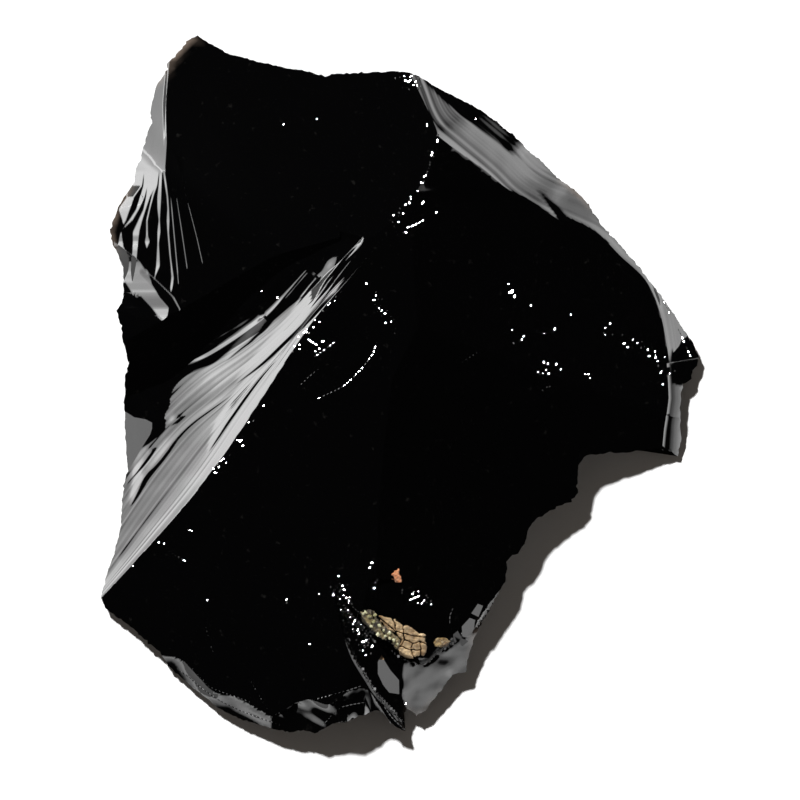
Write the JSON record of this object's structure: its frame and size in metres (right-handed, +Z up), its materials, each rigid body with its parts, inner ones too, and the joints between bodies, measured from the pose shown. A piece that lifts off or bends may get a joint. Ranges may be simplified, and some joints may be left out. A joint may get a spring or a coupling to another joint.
{
  "type": "obsidian chunk",
  "caption": "Raw chunk of black volcanic glass with broad curved break faces, a ribbed fan and a small rusty inclusion.",
  "frame": {"origin": "on the surface it rests on, under the middle of the bounding box", "axes": "+Z up off the flat base, +Y along the longest side in plan, towards the peaked thick end"},
  "size_m": [0.0898, 0.1046, 0.03],
  "materials": {
    "obsidian": "glossy"
  },
  "bodies": {
    "root": {"obsidian_chunk": "obsidian"}
  },
  "joints": []
}
